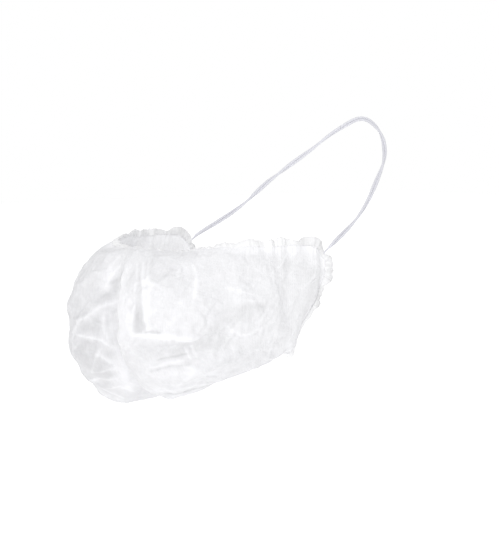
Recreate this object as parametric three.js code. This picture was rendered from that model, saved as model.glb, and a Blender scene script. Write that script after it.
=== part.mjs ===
// Disposable beard net: a pouch of thin nonwoven cloth with two front lobes, a gathered hem round its whole
// edge and one elastic that goes behind the ears and round the back of the head.
// Millimetres, +Z up. The wearer faces -Y and the wearer's left is +X. The origin is on the upright middle
// line of the head, level with the upper edge of the net under the nose.

import * as THREE from "three";

// Where the net lies on the head
const CHEEK_HALF_WIDTH = 74; // from the middle line out to the net's ends in front of the ears
const LIP_REACH = 112; // from the origin forward to the upper edge under the nose
const CHEEK_RISE = 4; // the cloth's upper edge over the cheeks, above its height under the nose
const THROAT_DROP = 80; // the lower edge at the throat, below the upper edge
const END_ANGLE = 86.5; // degrees from the front round to each end of the cloth

// The pouch
const LOBE_PUFF = 42; // how far the lobes stand out in front of the upper edge
const POUCH_DROP = 101; // from the upper edge down to the bottom of the bag
const RIGHT_PUFF = 0.8; // the right lobe's puff as a share of the left one's
const RIGHT_DROOP = 24; // degrees by which the right lobe leaves the upper edge less steeply
const RIGHT_SLUMP = 9; // how much lower the right lobe hangs than the left one
const CLOTH_WALL = 1.2;
const ROUNDNESS = 0.38; // length of a profile's handles as a share of the stretch that they bend

// Gathers
const GATHERS = 21; // ruffles along the upper edge, and as many along the lower one
const GATHER_HEIGHT = 2.6; // from the cloth's middle to the crest of a full ruffle
const GATHER_FADE = 34; // from the hem to where the ruffles have died out
const GATHER_STEADY = 0.8; // share of a ruffle's height that doesn't vary along the edge

// Folds
const FOLD_HEIGHT = 4; // of the highest fold
const FOLD_WIDTH = 9; // from the crest of a soft fold to its foot
const FOLD_STEEPNESS = 2; // how fast a fold falls away beside its crest
const FOLD_END = 0.12; // share of a fold's taper that is cut off at each end

// The hem
const HEM_WIDTH = 5.5;
const HEM_THICKNESS = 2.2;
const SEAM_GAP = 0.3; // clearance between two pieces that meet

// The elastic
const ELASTIC_DIAMETER = 3.4;
const ELASTIC_LEAD = 3; // straight stretch at each end, square to the hem's edge
const ELASTIC_INSET = 3; // along the upper edge from the cloth's corner to where the elastic leaves the hem
const BACK_REACH = 99; // from the origin back to the elastic behind the head
const BACK_RISE = 88; // height of the elastic behind the head

// Fineness of the meshes
const COLUMNS = 92; // cloth cells from one end of the net to the other
const ROWS_PER_STRETCH = [7, 6, 5]; // cloth cells from rim to bulge, bulge to floor and floor to hem
const TURN_STEPS = 600; // fine steps that measure the upper edge's length
const ELASTIC_STEPS = 78;
const ELASTIC_SIDES = 8;

const DOWN = 270; // directions in a profile, in degrees: 0 is outward, 90 up, 180 inward

// Turns rows of numbers into objects with the named columns.
function table(names, rows) {
  return rows.map((row) => Object.fromEntries(names.map((name, index) => [name, row[index]])));
}

// The pouch's profile at some turns from the front, the same on both sides. turn is a share of END_ANGLE.
// rimOut, floorOut and hemOut are shares of the head's radius there, puff of LOBE_PUFF, rimUp of CHEEK_RISE,
// bulgeUp and floorUp of POUCH_DROP and hemUp of THROAT_DROP. rimLean and hemLean are the cloth's directions
// at its two edges, and ruffle is a share of GATHER_HEIGHT.
const SECTION_COLUMNS = [
  "turn",
  ...["rimOut", "rimUp", "rimLean"],
  ...["puff", "bulgeUp"],
  ...["floorOut", "floorUp"],
  ...["hemOut", "hemUp", "hemLean"],
  "ruffle",
];
const SECTIONS = table(
  SECTION_COLUMNS,
  [
    [0.0, 1.0, 0.25, 15, 0.22, -0.46, 0.85, -0.92, 0.45, -1.0, 130, 0.4],
    [0.09, 1.01, 0.25, 15, 0.68, -0.46, 0.95, -0.97, 0.46, -1.0, 130, 0.4],
    [0.2, 1.03, 0.0, 12, 0.98, -0.44, 1.04, -0.95, 0.49, -1.0, 132, 0.4],
    [0.34, 1.07, 0.6, -5, 0.84, -0.41, 1.03, -0.85, 0.55, -0.95, 138, 0.4],
    [0.48, 1.07, 0.95, -35, 0.48, -0.36, 0.99, -0.795, 0.64, -0.93, 150, 0.45],
    [0.63, 1.05, 0.8, -68, 0.19, -0.3, 0.97, -0.735, 0.77, -0.91, 180, 0.5],
    [0.79, 1.01, 0.9, -82, 0.08, -0.24, 0.98, -0.6, 0.88, -0.85, 235, 0.65],
    [0.93, 1.0, 0.2, -86, 0.03, -0.16, 0.99, -0.3, 0.95, -0.46, 260, 0.6],
    [1.0, 1.0, -2.1, -88, 0.005, -0.11, 0.995, -0.15, 0.985, -0.25, 268, 0.1],
  ],
);

// Folds and creases in the cloth. turn and down give each end: turn as a share of END_ANGLE, left positive,
// and down 0 at the rim, 1 at the bulge, 2 at the floor and 3 at the hem. height is a share of FOLD_HEIGHT,
// negative for a dent, and width a share of FOLD_WIDTH.
const FOLDS = table(
  ["turnA", "downA", "turnB", "downB", "height", "width"],
  [
    [0.22, 0.3, 0.22, 0.95, 0.6, 0.7],
    [0.13, 1.17, 0.35, 1.17, 0.6, 0.6],
    [0.18, 1.45, 0.45, 1.35, -0.7, 1.2],
    [0.27, 1.75, 0.52, 1.6, 0.7, 1.0],
    [0.38, 0.3, 0.5, 1.3, -0.5, 1.6],
    [0.58, 0.25, 0.67, 1.5, 0.6, 1.2],
    [0.75, 0.3, 0.7, 1.7, -0.7, 1.1],
    [-0.09, 0.5, -0.25, 0.85, 0.8, 1.0],
    [-0.13, 0.75, -0.31, 1.1, -0.9, 1.3],
    [-0.2, 1.35, -0.38, 1.2, 0.7, 1.0],
    [-0.45, 0.3, -0.52, 1.4, 0.7, 1.3],
    [-0.68, 0.3, -0.65, 1.6, -0.7, 1.3],
    [-0.07, 2.05, -0.27, 1.75, 0.6, 1.0],
  ],
);

// How the ruffles wander in place and vary in height along an edge, as slower waves of a size, a number of
// waves from end to end and a start in radians.
const RUFFLE_WANDER = table(
  ["size", "waves", "start"],
  [
    [0.3, 3.3, 1],
    [0.2, 7.1, 0],
  ],
);
const RUFFLE_VARIATION = table(["size", "waves", "start"], [[1, 5.3, 2]]);

// Where the elastic goes behind each end, as shares of CHEEK_HALF_WIDTH, BACK_REACH and BACK_RISE.
const ELASTIC_ROUTE = table(
  ["out", "back", "up"],
  [
    [0.892, 0.35, 0.239],
    [0.77, 0.596, 0.477],
    [0.555, 0.842, 0.72],
    [0.29, 0.965, 0.91],
  ],
);

const radians = THREE.MathUtils.degToRad;

// The head's radius at a turn from the front, as an ellipse of the net's half width and its reach.
function headRadius(turn) {
  const angle = radians(turn * END_ANGLE);
  return 1 / Math.hypot(Math.sin(angle) / CHEEK_HALF_WIDTH, Math.cos(angle) / LIP_REACH);
}

// The value of one column at a turn, as a smooth curve through the sections, mirrored at the front.
function sectionValue(name, turn) {
  const place = Math.abs(turn);
  const section = (index) => SECTIONS[Math.min(Math.abs(index), SECTIONS.length - 1)];
  const next = Math.max(1, SECTIONS.findIndex((row) => row.turn >= place - 1e-9));
  const [from, to, after] = [next - 1, next, next + 1].map(section);
  const before = section(next - 2);
  const beforeTurn = next === 1 ? -before.turn : before.turn;
  const span = to.turn - from.turn;
  const slopeFrom = (to[name] - before[name]) / (to.turn - beforeTurn);
  const slopeTo = (after[name] - from[name]) / (after.turn - from.turn);
  const t = (place - from.turn) / span;
  return (
    (2 * t ** 3 - 3 * t ** 2 + 1) * from[name] +
    (t ** 3 - 2 * t ** 2 + t) * span * slopeFrom +
    (3 * t ** 2 - 2 * t ** 3) * to[name] +
    (t ** 3 - t ** 2) * span * slopeTo
  );
}

// A curve between two places of a profile that leaves and arrives in the given directions.
function bend(start, startDirection, end, endDirection) {
  const handle = ROUNDNESS * start.distanceTo(end);
  const step = (direction) => new THREE.Vector2(Math.cos(radians(direction)), Math.sin(radians(direction)));
  const leave = step(startDirection).multiplyScalar(handle).add(start);
  const arrive = step(endDirection).multiplyScalar(-handle).add(end);
  return new THREE.CubicBezierCurve(start, leave, arrive, end);
}

// The three stretches of the pouch's profile at a turn: rim to bulge, bulge to floor and floor to hem.
function profile(turn) {
  const value = (name) => sectionValue(name, turn);
  const right = turn < 0 ? value("puff") : 0;
  const radius = headRadius(turn);
  const rimOut = radius * value("rimOut");
  const puff = LOBE_PUFF * value("puff") * (1 - right * (1 - RIGHT_PUFF));
  const slump = right * RIGHT_SLUMP;
  const rim = new THREE.Vector2(rimOut, CHEEK_RISE * value("rimUp"));
  const bulge = new THREE.Vector2(rimOut + puff, POUCH_DROP * value("bulgeUp") - slump);
  const floor = new THREE.Vector2(radius * value("floorOut"), POUCH_DROP * value("floorUp") - slump);
  const hem = new THREE.Vector2(radius * value("hemOut"), THROAT_DROP * value("hemUp"));
  const tuck = (DOWN + value("hemLean")) / 2;
  return [
    bend(rim, value("rimLean") - right * RIGHT_DROOP, bulge, DOWN),
    bend(bulge, DOWN, floor, tuck),
    bend(floor, tuck, hem, value("hemLean")),
  ];
}

// A point of a profile, out and up, turned to its place round the head.
function around(turn, point) {
  const angle = radians(turn * END_ANGLE);
  return new THREE.Vector3(point.x * Math.sin(angle), -point.x * Math.cos(angle), point.y);
}

// Turns of the cloth's columns, which divide the upper edge into equal lengths.
function columnTurns() {
  const turns = Array.from({ length: TURN_STEPS + 1 }, (_, step) => (2 * step) / TURN_STEPS - 1);
  const rim = turns.map((turn) => around(turn, profile(turn)[0].getPoint(0)));
  const lengths = [0];
  rim.slice(1).forEach((point, step) => lengths.push(lengths[step] + point.distanceTo(rim[step])));
  return Array.from({ length: COLUMNS + 1 }, (_, column) => {
    const wanted = (lengths.at(-1) * column) / COLUMNS;
    const step = Math.max(1, lengths.findIndex((length) => length >= wanted - 1e-9));
    const part = (wanted - lengths[step - 1]) / (lengths[step] - lengths[step - 1]);
    return THREE.MathUtils.lerp(turns[step - 1], turns[step], part);
  });
}

// Unit normals of a grid of points, outward from the head.
function gridNormals(grid) {
  return grid.map((column, i) =>
    column.map((_, j) => {
      const along = new THREE.Vector3().subVectors((grid[i + 1] ?? column)[j], (grid[i - 1] ?? column)[j]);
      const down = new THREE.Vector3().subVectors(column[j + 1] ?? column[j], column[j - 1] ?? column[j]);
      return along.cross(down).negate().normalize();
    }),
  );
}

// Length of cloth from each point of a column up to the rim and down to the hem.
function clothLengths(column) {
  const fromRim = [0];
  column.slice(1).forEach((point, j) => fromRim.push(fromRim[j] + point.distanceTo(column[j])));
  return fromRim.map((length) => ({ fromRim: length, fromHem: fromRim.at(-1) - length }));
}

// The sum of slow waves at a share of the way from end to end.
function waveSum(waves, share) {
  const height = (wave) => wave.size * Math.sin(2 * Math.PI * wave.waves * share + wave.start);
  return waves.reduce((sum, wave) => sum + height(wave), 0);
}

// Height of the ruffles at a share of the way from the right end to the left one, between -1 and 1.
function ruffleWave(share) {
  const height = GATHER_STEADY + (1 - GATHER_STEADY) * waveSum(RUFFLE_VARIATION, share);
  return height * Math.sin(2 * Math.PI * (GATHERS * share + waveSum(RUFFLE_WANDER, share)));
}

// How much of a ruffle is left at a length of cloth from the edge where it starts.
function fade(length) {
  return Math.max(0, 1 - length / GATHER_FADE) ** 2;
}

// Height of all folds at a place on the pouch: a rounded ridge along each line, which tapers towards its
// ends. scale is the length of cloth for a turn of 1 and for one stretch of the profile.
function foldHeight(turn, down, scale) {
  return FOLDS.reduce((height, fold) => {
    const start = new THREE.Vector2(fold.turnA, fold.downA).multiply(scale);
    const line = new THREE.Vector2(fold.turnB, fold.downB).multiply(scale).sub(start);
    const place = new THREE.Vector2(turn, down).multiply(scale).sub(start);
    const along = THREE.MathUtils.clamp(place.dot(line) / line.lengthSq(), 0, 1);
    const aside = place.distanceTo(line.clone().multiplyScalar(along)) / (FOLD_WIDTH * fold.width);
    const taper = Math.sqrt(Math.sin(Math.PI * THREE.MathUtils.lerp(FOLD_END, 1 - FOLD_END, along)));
    return height + FOLD_HEIGHT * fold.height * taper * Math.exp(-FOLD_STEEPNESS * aside ** 2);
  }, 0);
}

// The middle surface of the gathered and folded pouch, as columns of points from the rim to the hem.
function pouchGrid() {
  const turns = columnTurns();
  const downs = [0];
  ROWS_PER_STRETCH.forEach((rows, stretch) => {
    for (let row = 1; row <= rows; row++) downs.push(stretch + row / rows);
  });
  const smooth = turns.map((turn) => {
    const stretches = profile(turn);
    return downs.map((down) => {
      const stretch = Math.min(stretches.length - 1, Math.floor(down));
      return around(turn, stretches[stretch].getPoint(down - stretch));
    });
  });
  const normals = gridNormals(smooth);
  return smooth.map((column, i) => {
    const lengths = clothLengths(column);
    const perStretch = lengths[0].fromHem / ROWS_PER_STRETCH.length;
    const scale = new THREE.Vector2(LIP_REACH * radians(END_ANGLE), perStretch);
    const ruffle = sectionValue("ruffle", turns[i]);
    return column.map((point, j) => {
      const inner = Math.min(1, Math.min(lengths[j].fromRim, lengths[j].fromHem) / FOLD_WIDTH);
      const gather = ruffle * fade(lengths[j].fromRim) + Math.sqrt(ruffle) * fade(lengths[j].fromHem);
      const height =
        GATHER_HEIGHT * Math.min(1, gather) * ruffleWave(i / COLUMNS) +
        inner * foldHeight(turns[i], downs[j], scale);
      return point.clone().addScaledVector(normals[i][j], height);
    });
  });
}

// A mesh from a list of points and the quads between them, wound so that their faces point outward.
function quadMesh(name, points, quads, material) {
  const geometry = new THREE.BufferGeometry();
  const coordinates = points.flatMap((point) => point.toArray());
  geometry.setAttribute("position", new THREE.Float32BufferAttribute(coordinates, 3));
  geometry.setIndex(quads.flatMap(([a, b, c, d]) => [a, b, c, a, c, d]));
  geometry.computeVertexNormals();
  const mesh = new THREE.Mesh(geometry, material);
  mesh.name = name;
  return mesh;
}

// The pouch: the middle surface thickened to both sides and closed along its four edges.
function pouch(grid, material) {
  const normals = gridNormals(grid);
  const rows = grid[0].length;
  const shell = (side) =>
    grid.flatMap((column, i) =>
      column.map((point, j) => point.clone().addScaledVector(normals[i][j], (side * CLOTH_WALL) / 2)),
    );
  const count = grid.length * rows;
  const outer = (i, j) => i * rows + j;
  const inner = (i, j) => count + i * rows + j;
  const quads = [];
  for (let i = 0; i < grid.length - 1; i++) {
    for (let j = 0; j < rows - 1; j++) {
      quads.push([outer(i, j), outer(i, j + 1), outer(i + 1, j + 1), outer(i + 1, j)]);
      quads.push([inner(i, j), inner(i + 1, j), inner(i + 1, j + 1), inner(i, j + 1)]);
    }
    quads.push([outer(i, 0), outer(i + 1, 0), inner(i + 1, 0), inner(i, 0)]);
    quads.push([outer(i + 1, rows - 1), outer(i, rows - 1), inner(i, rows - 1), inner(i + 1, rows - 1)]);
  }
  for (let j = 0; j < rows - 1; j++) {
    const last = grid.length - 1;
    quads.push([outer(0, j + 1), outer(0, j), inner(0, j), inner(0, j + 1)]);
    quads.push([outer(last, j), outer(last, j + 1), inner(last, j + 1), inner(last, j)]);
  }
  return quadMesh("pouch", [...shell(1), ...shell(-1)], quads, material);
}

// The pouch's edge as a closed loop of places, each with the direction that leaves the cloth there. It runs
// along the rim to the left end, down that end, back along the hem and up the right end.
function edgeLoop(grid) {
  const last = grid.length - 1;
  const bottom = grid[0].length - 1;
  const loop = [];
  const add = (i, j, inwardI, inwardJ) =>
    loop.push({
      point: grid[i][j],
      outward: new THREE.Vector3().subVectors(grid[i][j], grid[i + inwardI][j + inwardJ]).normalize(),
    });
  for (let i = 0; i < last; i++) add(i, 0, i === 0 ? 1 : 0, 1);
  for (let j = 0; j < bottom; j++) add(last, j, -1, j === 0 ? 1 : 0);
  for (let i = last; i > 0; i--) add(i, bottom, i === last ? -1 : 0, -1);
  for (let j = bottom; j > 0; j--) add(0, j, 1, j === bottom ? -1 : 0);
  return loop;
}

// Frames round the edge: along it, out of the cloth and through its thickness.
function edgeFrames(grid) {
  const loop = edgeLoop(grid);
  const near = (index, step) => loop[(index + step + loop.length) % loop.length];
  return loop.map(({ point }, index) => {
    const along = new THREE.Vector3().subVectors(near(index, 1).point, near(index, -1).point).normalize();
    const outward = [-1, 0, 1]
      .reduce((sum, step) => sum.add(near(index, step).outward), new THREE.Vector3())
      .projectOnPlane(along)
      .normalize();
    return { point, along, outward, through: new THREE.Vector3().crossVectors(along, outward) };
  });
}

// The hem's section: across is a share of its width from the cloth outward, through a share of its thickness.
const HEM_SECTION = table(
  ["across", "through"],
  [
    [0, -0.32],
    [0.5, -0.5],
    [1, -0.3],
    [1, 0.3],
    [0.5, 0.5],
    [0, 0.32],
  ],
);

// The hem: its section carried round the pouch's whole edge.
function rimHem(frames, material) {
  const sides = HEM_SECTION.length;
  const points = frames.flatMap(({ point, outward, through }) =>
    HEM_SECTION.map((corner) =>
      point
        .clone()
        .addScaledVector(outward, SEAM_GAP + HEM_WIDTH * corner.across)
        .addScaledVector(through, HEM_THICKNESS * corner.through),
    ),
  );
  const quads = [];
  frames.forEach((_, ring) => {
    const next = (ring + 1) % frames.length;
    for (let side = 0; side < sides; side++) {
      const beside = (side + 1) % sides;
      quads.push([ring * sides + side, ring * sides + beside, next * sides + beside, next * sides + side]);
    }
  });
  return quadMesh("rim_hem", points, quads, material);
}

// Where an elastic end meets the hem, at a short way along the upper edge from a corner of the cloth, and the
// direction that it leaves in. step is the way along the edge from that corner.
function elasticAnchor(frames, corner, step) {
  const away = (index) => frames[index].point.distanceTo(frames[corner].point);
  let index = corner;
  while (away(index) < ELASTIC_INSET) index += step;
  const { point, outward } = frames[index];
  return { start: point.clone().addScaledVector(outward, SEAM_GAP + HEM_WIDTH + SEAM_GAP), leave: outward };
}

// The elastic: one round cord from the left upper corner, behind the head, to the right upper corner.
function headElastic(frames, material) {
  const left = elasticAnchor(frames, COLUMNS, -1);
  const right = elasticAnchor(frames, 0, 1);
  const reach = new THREE.Vector3(CHEEK_HALF_WIDTH, BACK_REACH, BACK_RISE);
  const side = (sign) =>
    ELASTIC_ROUTE.map(({ out, back, up }) => new THREE.Vector3(sign * out, back, up).multiply(reach));
  const route = new THREE.CatmullRomCurve3(
    [
      left.start,
      left.start.clone().addScaledVector(left.leave, ELASTIC_LEAD),
      ...side(1),
      new THREE.Vector3(0, BACK_REACH, BACK_RISE),
      ...side(-1).reverse(),
      right.start.clone().addScaledVector(right.leave, ELASTIC_LEAD),
      right.start,
    ],
    false,
    "centripetal",
  );
  const middle = new THREE.Vector2();
  const section = new THREE.Shape(
    Array.from({ length: ELASTIC_SIDES }, (_, corner) =>
      new THREE.Vector2(ELASTIC_DIAMETER / 2, 0).rotateAround(middle, (2 * Math.PI * corner) / ELASTIC_SIDES),
    ),
  );
  const geometry = new THREE.ExtrudeGeometry(section, { steps: ELASTIC_STEPS, extrudePath: route });
  const mesh = new THREE.Mesh(geometry, material);
  mesh.name = "head_elastic";
  return mesh;
}

const nonwoven = new THREE.MeshStandardMaterial({ color: 0xf1f1f4, roughness: 0.85, metalness: 0 });
const hemCloth = new THREE.MeshStandardMaterial({ color: 0xf6f6f8, roughness: 0.85, metalness: 0 });
const elasticYarn = new THREE.MeshStandardMaterial({ color: 0xe4e4ea, roughness: 0.8, metalness: 0 });

const grid = pouchGrid();
const frames = edgeFrames(grid);
const beardNet = new THREE.Group();
beardNet.add(pouch(grid, nonwoven), rimHem(frames, hemCloth), headElastic(frames, elasticYarn));

export default beardNet;
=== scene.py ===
"""Disposable beard net: a thin nonwoven pouch with two front lobes, a gathered hem and an elastic."""

import math

import bpy
import numpy as np
from mathutils import Matrix, Vector


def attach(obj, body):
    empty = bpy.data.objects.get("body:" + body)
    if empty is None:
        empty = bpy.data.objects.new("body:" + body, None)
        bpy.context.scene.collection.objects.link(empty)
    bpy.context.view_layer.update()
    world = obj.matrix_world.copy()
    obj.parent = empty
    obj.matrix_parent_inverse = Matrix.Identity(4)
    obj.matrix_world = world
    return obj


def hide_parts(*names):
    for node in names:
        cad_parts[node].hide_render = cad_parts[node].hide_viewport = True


bl_info = {
    "name": "Disposable Beard Net",
    "version": (1, 0, 0),
    "blender": (4, 5, 0),
    "location": "3D View > Sidebar > Beard Net",
    "description": "Builds the pouch, the hem and the elastic of a disposable beard net",
    "category": "Object",
}

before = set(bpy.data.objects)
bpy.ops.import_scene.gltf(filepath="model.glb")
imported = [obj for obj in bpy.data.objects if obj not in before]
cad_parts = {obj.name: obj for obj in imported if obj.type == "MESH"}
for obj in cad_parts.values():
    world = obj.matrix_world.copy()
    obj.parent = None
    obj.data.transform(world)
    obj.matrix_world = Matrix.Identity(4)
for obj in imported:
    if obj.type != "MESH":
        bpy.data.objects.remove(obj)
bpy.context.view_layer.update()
MM = 0.001
DOWN = 270.0  # directions in a profile, in degrees: 0 is outward, 90 up, 180 inward

# The pouch's profile at some turns from the front, the same on both sides. turn is a share of the end angle.
# rim_out, floor_out and hem_out are shares of the worn radius, puff of the lobe's puff, rim_up of the
# cheeks' rise, bulge_up and floor_up of the pouch's drop and hem_up of the throat's. Leans are in degrees.
SECTION_COLUMNS = (
    ("turn", "rim_out", "rim_up", "rim_lean", "puff", "bulge_up")
    + ("floor_out", "floor_up", "hem_out", "hem_up", "hem_lean", "ruffle")
)
SECTIONS = np.array([
    (0.00, 1.00, 0.25, 15, 0.220, -0.46, 0.850, -0.92, 0.450, -1.00, 130, 0.40),
    (0.09, 1.01, 0.25, 15, 0.680, -0.46, 0.950, -0.97, 0.460, -1.00, 130, 0.40),
    (0.20, 1.03, 0.00, 12, 0.980, -0.44, 1.040, -0.95, 0.490, -1.00, 132, 0.40),
    (0.34, 1.07, 0.60, -5, 0.840, -0.41, 1.030, -0.85, 0.550, -0.95, 138, 0.40),
    (0.48, 1.07, 0.95, -35, 0.480, -0.36, 0.990, -0.795, 0.640, -0.93, 150, 0.45),
    (0.63, 1.05, 0.80, -68, 0.190, -0.30, 0.970, -0.735, 0.770, -0.91, 180, 0.50),
    (0.79, 1.01, 0.90, -82, 0.080, -0.24, 0.980, -0.60, 0.880, -0.85, 235, 0.65),
    (0.93, 1.00, 0.20, -86, 0.030, -0.16, 0.990, -0.30, 0.950, -0.46, 260, 0.60),
    (1.00, 1.00, -2.10, -88, 0.005, -0.11, 0.995, -0.15, 0.985, -0.25, 268, 0.10),
])

# Soft folds of the pouch. Each end is a turn, left positive, and a place down the cloth: 0 at the rim, 1 at
# the bulge, 2 at the floor and 3 at the hem. Height and width are in millimetres. A dent's height is negative.
SOFT_FOLDS = np.array([
    (0.22, 0.3, 0.22, 0.95, 2.4, 6.3),
    (0.13, 1.17, 0.35, 1.17, 2.4, 5.4),
    (0.18, 1.45, 0.45, 1.35, -2.8, 10.8),
    (0.27, 1.75, 0.52, 1.6, 2.8, 9.0),
    (0.38, 0.3, 0.5, 1.3, -2.0, 14.4),
    (0.58, 0.25, 0.67, 1.5, 1.2, 10.8),
    (0.75, 0.3, 0.7, 1.7, -1.2, 9.9),
    (-0.09, 0.5, -0.25, 0.85, 1.4, 9.0),
    (-0.13, 0.75, -0.31, 1.1, -1.4, 11.7),
    (-0.2, 1.35, -0.38, 1.2, 1.0, 9.0),
    (-0.45, 0.3, -0.52, 1.4, 2.8, 11.7),
    (-0.68, 0.3, -0.65, 1.6, -2.8, 11.7),
    (-0.07, 2.05, -0.27, 1.75, 2.4, 9.0),
])

# Crisp creases that the net keeps from lying folded in its packet. Columns as before, then how much whiter the
# cloth is
# painted along the crease: a painted highlight on a ridge, where it also lies double, and painted shade in a
# dent where that is negative.
CREASES = np.array([
    (0.133, 0.37, 0.177, 0.6, 0.5, 1.2, 0.4),
    (0.177, 0.6, 0.193, 0.78, 0.5, 1.2, 0.4),
    (0.161, 0.36, 0.222, 0.69, 0.6, 1.3, 0.6),
    (0.222, 0.69, 0.23, 0.88, 0.9, 1.3, 0.7),
    (0.234, 0.88, 0.24, 1.08, 0.6, 1.1, 0.6),
    (0.177, 0.31, 0.234, 0.67, 0.4, 1.3, 0.4),
    (0.234, 0.67, 0.242, 0.91, 0.4, 1.3, 0.4),
    (0.145, 0.36, 0.21, 0.71, -0.2, 1.3, -0.2),
    (0.193, 0.81, 0.183, 0.94, 0.4, 1.0, 0.6),
    (0.183, 0.94, 0.176, 1.08, 0.4, 1.0, 0.6),
    (0.181, 1.08, 0.242, 1.1, 1.2, 1.5, 1.1),
    (0.242, 1.1, 0.304, 1.14, 1.2, 1.5, 1.1),
    (0.304, 1.14, 0.365, 1.22, 1.2, 1.5, 1.1),
    (0.23, 1.07, 0.271, 1.08, -0.6, 0.9, -0.9),
    (0.214, 1.5, 0.263, 1.5, 0.5, 1.1, 0.6),
    (0.263, 1.5, 0.312, 1.5, 0.5, 1.1, 0.6),
    (0.246, 1.43, 0.296, 1.44, -0.5, 1.1, -0.6),
    (0.296, 1.44, 0.337, 1.44, -0.5, 1.1, -0.6),
    (0.214, 1.54, 0.271, 1.54, -0.4, 1.2, -0.4),
    (0.271, 1.54, 0.328, 1.57, -0.4, 1.2, -0.4),
    (0.333, 1.31, 0.337, 1.49, 0.4, 1.0, 0.6),
    (0.353, 1.32, 0.357, 1.49, 0.4, 1.0, 0.6),
    (0.189, 1.93, 0.251, 2.02, -0.5, 1.2, -0.6),
    (0.251, 2.02, 0.341, 2.18, -0.5, 1.2, -0.6),
    (0.185, 1.86, 0.279, 1.96, 0.5, 1.2, 0.5),
    (0.279, 1.96, 0.39, 2.23, 0.5, 1.2, 0.5),
    (-0.068, 1.75, -0.056, 1.92, 0.26, 1.1, 0.24),
    (0.337, 0.35, 0.361, 0.49, 0.5, 1.3, 0.6),
    (0.361, 0.49, 0.365, 0.63, 0.5, 1.3, 0.6),
    (0.365, 0.63, 0.365, 0.77, 0.5, 1.3, 0.6),
    (0.46, 0.69, 0.565, 0.88, 0.4, 1.6, 0.4),
    (0.512, 0.9, 0.579, 0.99, 0.4, 1.5, 0.4),
    (0.456, 1.15, 0.477, 1.28, 0.4, 1.5, 0.5),
    (0.477, 1.28, 0.521, 1.38, 0.4, 1.5, 0.5),
    (0.521, 1.38, 0.584, 1.35, 0.4, 1.5, 0.5),
    (0.423, 1.01, 0.477, 0.99, -0.4, 1.8, -0.3),
    (0.477, 0.99, 0.584, 1.06, -0.4, 1.8, -0.3),
    (0.584, 1.06, 0.635, 1.12, -0.4, 1.8, -0.3),
    (0.635, 0.44, 0.64, 0.87, 0.4, 1.6, 0.3),
    (0.016, 0.38, -0.032, 0.51, 0.45, 1.3, 0.48),
    (-0.032, 0.51, -0.052, 0.64, 0.45, 1.3, 0.48),
    (-0.016, 0.31, -0.048, 0.46, 0.26, 1.2, 0.3),
    (0.044, 0.5, -0.032, 0.6, -0.6, 1.4, -0.7),
    (-0.032, 0.68, -0.052, 0.73, -0.45, 1.4, -0.48),
    (-0.052, 0.73, -0.073, 0.77, -0.45, 1.4, -0.48),
    (-0.109, 0.86, -0.157, 0.92, -0.39, 1.4, -0.48),
    (-0.024, 0.78, -0.06, 0.82, 0.52, 1.5, 0.48),
    (-0.06, 0.82, -0.097, 0.9, 0.52, 1.5, 0.48),
    (-0.097, 0.9, -0.137, 0.94, 0.52, 1.5, 0.48),
    (-0.137, 0.95, -0.165, 1.06, 0.45, 1.3, 0.48),
    (-0.165, 1.06, -0.165, 1.17, 0.45, 1.3, 0.48),
    (-0.145, 1.07, -0.089, 1.1, 0.59, 1.1, 0.6),
    (-0.089, 1.1, -0.06, 1.15, 0.59, 1.1, 0.6),
    (-0.06, 1.15, -0.04, 1.25, 0.59, 1.1, 0.6),
    (-0.052, 0.88, -0.056, 1.01, 0.39, 1.2, 0.48),
    (-0.056, 1.01, -0.044, 1.18, 0.39, 1.2, 0.48),
    (-0.04, 0.87, -0.036, 1.11, 0.33, 1.2, 0.36),
    (-0.064, 1.25, -0.089, 1.35, 0.45, 1.1, 0.54),
    (-0.089, 1.35, -0.125, 1.49, 0.45, 1.1, 0.54),
    (-0.077, 1.28, -0.06, 1.35, 0.45, 1.1, 0.54),
    (-0.06, 1.35, -0.048, 1.44, 0.45, 1.1, 0.54),
    (-0.129, 1.5, -0.081, 1.5, 0.39, 1.1, 0.48),
    (-0.081, 1.5, -0.048, 1.51, 0.39, 1.1, 0.48),
    (-0.185, 1.62, -0.109, 1.58, 0.39, 1.2, 0.48),
    (-0.109, 1.58, -0.064, 1.64, 0.39, 1.2, 0.48),
    (-0.157, 1.68, -0.121, 1.81, 0.39, 1.2, 0.48),
    (-0.121, 1.81, -0.097, 1.93, 0.39, 1.2, 0.48),
    (-0.117, 1.75, -0.068, 1.75, 0.26, 1.1, 0.36),
    (-0.181, 1.25, -0.137, 1.15, 0.33, 1.1, 0.42),
])
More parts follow.
